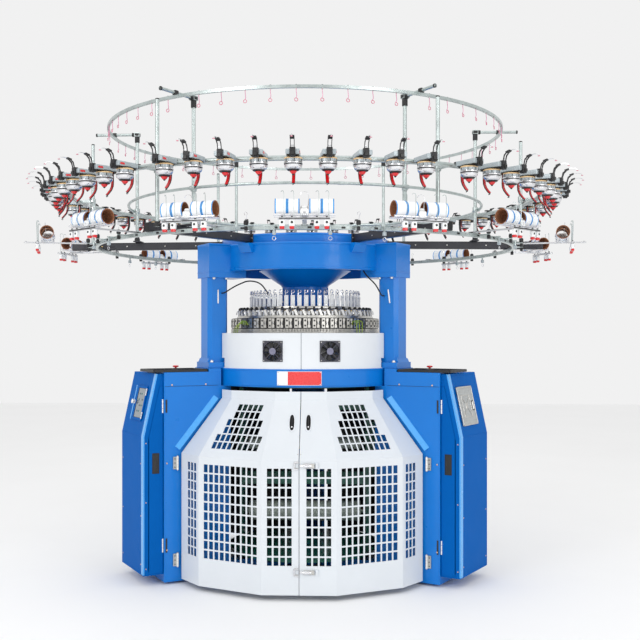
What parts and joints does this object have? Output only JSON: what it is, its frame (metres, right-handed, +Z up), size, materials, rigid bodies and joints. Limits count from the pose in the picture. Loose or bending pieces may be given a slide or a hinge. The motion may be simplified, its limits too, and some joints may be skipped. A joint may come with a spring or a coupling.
{
  "type": "circular knitting machine",
  "caption": "Circular knitting machine: blue cast frame, perforated guard doors, needle cylinder and dial head, and a ring of storage feeders and elastane devices on a tube creel.",
  "frame": {"origin": "on the floor under the axis of the needle cylinder", "axes": "+Z up, -Y towards the guard doors (front), +X to the right seen from the front"},
  "size_m": [3.3766, 3.426, 2.731],
  "materials": {
    "blue_paint": "gloss",
    "white_sheet": "satin powder coat",
    "light_guard": "satin powder coat",
    "cast_blue": "gloss paint",
    "steel": "machined",
    "dark_steel": "blackened",
    "zinc_tube": "zinc plated",
    "chrome_steel": "polished",
    "alu": "cast, satin",
    "black_steel": "satin black",
    "black_plastic": "matt",
    "red_plastic": "gloss",
    "white_plastic": "gloss",
    "label": "satin",
    "glass": "tinted",
    "card_tube": "wound card",
    "machine_green": "satin",
    "grey_sheet": "brushed",
    "cable_rubber": "matt",
    "roll_grey": "satin"
  },
  "bodies": {
    "frame": {"leg_left": "cast_blue", "leg_right": "cast_blue", "leg_rear": "cast_blue", "base_spider": "cast_blue", "levelling_feet": "dark_steel", "bed_ring": "cast_blue", "columns": "cast_blue", "column_bolts": "steel", "top_casting": "cast_blue", "centre_cone": "cast_blue", "cam_box_ring": "steel", "cam_plates": "chrome_steel", "carrier_ring": "black_plastic", "yarn_guides": "white_plastic", "skirt_covers": "white_sheet", "fan_frames": "black_plastic", "nameplate": "label", "rear_guards": "light_guard", "door_hinges": "steel", "cabinet_left": "blue_paint", "cabinet_right": "blue_paint", "trays": "black_steel", "support_arms": "black_steel", "creel_posts": "zinc_tube", "top_arms": "zinc_tube", "top_ring": "zinc_tube", "eyelet_hooks": "zinc_tube", "middle_ring": "zinc_tube", "feeder_ring": "zinc_tube", "feeder_bodies": "black_plastic", "feeder_wheels": "alu", "elastane_ring": "zinc_tube", "elastane_brackets": "alu", "elastane_rods": "chrome_steel", "elastane_tubes": "card_tube", "drive_motor": "machine_green", "cables": "cable_rubber"},
    "rotor": {"needle_cylinder": "steel", "dial": "steel", "takedown_frame": "machine_green"},
    "door_left": {"door_left": "light_guard", "door_handle_left": "black_plastic", "latch_strikes": "chrome_steel"},
    "door_right": {"door_right": "light_guard", "door_handle_right": "black_plastic"},
    "latch_upper": {"latch_lever_upper": "chrome_steel"},
    "latch_lower": {"latch_lever_lower": "chrome_steel"},
    "cabinet_door_left": {"cabinet_door_left": "blue_paint"},
    "cabinet_door_right": {"cabinet_door_right": "blue_paint"},
    "window_hatch": {"window_hatch": "glass"},
    "plate_hatch": {"plate_hatch": "grey_sheet"},
    "stop_left": {"stop_button_left": "red_plastic"},
    "stop_right": {"stop_button_right": "red_plastic"},
    "fan_left": {"fan_rotor_left": "black_plastic"},
    "fan_right": {"fan_rotor_right": "black_plastic"},
    "feeder_wheel_front": {"feeder_wheel_front": "alu"},
    "elastane_rod_front": {"elastane_rod_front": "chrome_steel"},
    "roller_a": {"takedown_roller_a": "roll_grey"},
    "roller_b": {"takedown_roller_b": "roll_grey"},
    "cloth_roller": {"cloth_roller": "roll_grey"}
  },
  "joints": [
    {"name": "cylinder_spin", "type": "hinge", "parent": "frame", "child": "rotor", "pos_m": [0, 0, 1.3], "axis": [0, 0, 1], "continuous": true},
    {"name": "door_left_hinge", "type": "hinge", "parent": "frame", "child": "door_left", "pos_m": [-0.71719, -0.55379, 0.5], "axis": [0, 0, -1], "range_deg": [0, 70]},
    {"name": "door_right_hinge", "type": "hinge", "parent": "frame", "child": "door_right", "pos_m": [0.71719, -0.55379, 0.5], "axis": [0, 0, 1], "range_deg": [0, 70]},
    {"name": "latch_upper_hinge", "type": "hinge", "parent": "door_right", "child": "latch_upper", "pos_m": [0.084, -0.8945, 0.732], "axis": [0, 0, 1], "range_deg": [0, 120]},
    {"name": "latch_lower_hinge", "type": "hinge", "parent": "door_right", "child": "latch_lower", "pos_m": [0.084, -0.8945, 0.156], "axis": [0, 0, 1], "range_deg": [0, 120]},
    {"name": "cabinet_door_left_hinge", "type": "hinge", "parent": "frame", "child": "cabinet_door_left", "pos_m": [-0.79957, -0.5771, 0.45], "axis": [0, 0, 1], "range_deg": [0, 60]},
    {"name": "cabinet_door_right_hinge", "type": "hinge", "parent": "frame", "child": "cabinet_door_right", "pos_m": [0.79957, -0.5771, 0.45], "axis": [0, 0, -1], "range_deg": [0, 60]},
    {"name": "window_hatch_hinge", "type": "hinge", "parent": "frame", "child": "window_hatch", "pos_m": [-0.91607, -0.53813, 1.04646], "axis": [0.1879, 0.1085, 0.9762], "range_deg": [0, 100]},
    {"name": "plate_hatch_hinge", "type": "hinge", "parent": "frame", "child": "plate_hatch", "pos_m": [0.90407, -0.55892, 1.04646], "axis": [0.1879, -0.1085, -0.9762], "range_deg": [0, 100]},
    {"name": "stop_left_press", "type": "slide", "parent": "frame", "child": "stop_left", "axis": [0, 0, -1], "range_m": [0, 0.0035], "stiffness_N_per_m": 900, "springref_m": -0.001},
    {"name": "stop_right_press", "type": "slide", "parent": "frame", "child": "stop_right", "axis": [0, 0, -1], "range_m": [0, 0.0035], "stiffness_N_per_m": 900, "springref_m": -0.001},
    {"name": "fan_left_spin", "type": "hinge", "parent": "frame", "child": "fan_left", "pos_m": [-0.16201, -0.57252, 1.346], "axis": [-0.2723, -0.9622, 0], "continuous": true},
    {"name": "fan_right_spin", "type": "hinge", "parent": "frame", "child": "fan_right", "pos_m": [0.16201, -0.57252, 1.346], "axis": [0.2723, -0.9622, 0], "continuous": true},
    {"name": "feeder_wheel_spin", "type": "hinge", "parent": "frame", "child": "feeder_wheel_front", "pos_m": [0, -1.528, 2.25], "axis": [0, 0, 1], "continuous": true},
    {"name": "elastane_rod_spin", "type": "hinge", "parent": "frame", "child": "elastane_rod_front", "pos_m": [0.05594, -1.60202, 2.00188], "axis": [0.9994, 0.0349, 0], "continuous": true},
    {"name": "roller_a_spin", "type": "hinge", "parent": "rotor", "child": "roller_a", "pos_m": [0, -0.039, 0.76], "axis": [1, 0, 0], "continuous": true},
    {"name": "roller_b_spin", "type": "hinge", "parent": "rotor", "child": "roller_b", "pos_m": [0, 0.039, 0.76], "axis": [1, 0, 0], "continuous": true},
    {"name": "cloth_roller_spin", "type": "hinge", "parent": "rotor", "child": "cloth_roller", "pos_m": [0, 0, 0.33], "axis": [1, 0, 0], "continuous": true}
  ],
  "couplings": [
    {"joint": "roller_b_spin", "follows": "roller_a_spin", "ratio": -1}
  ]
}
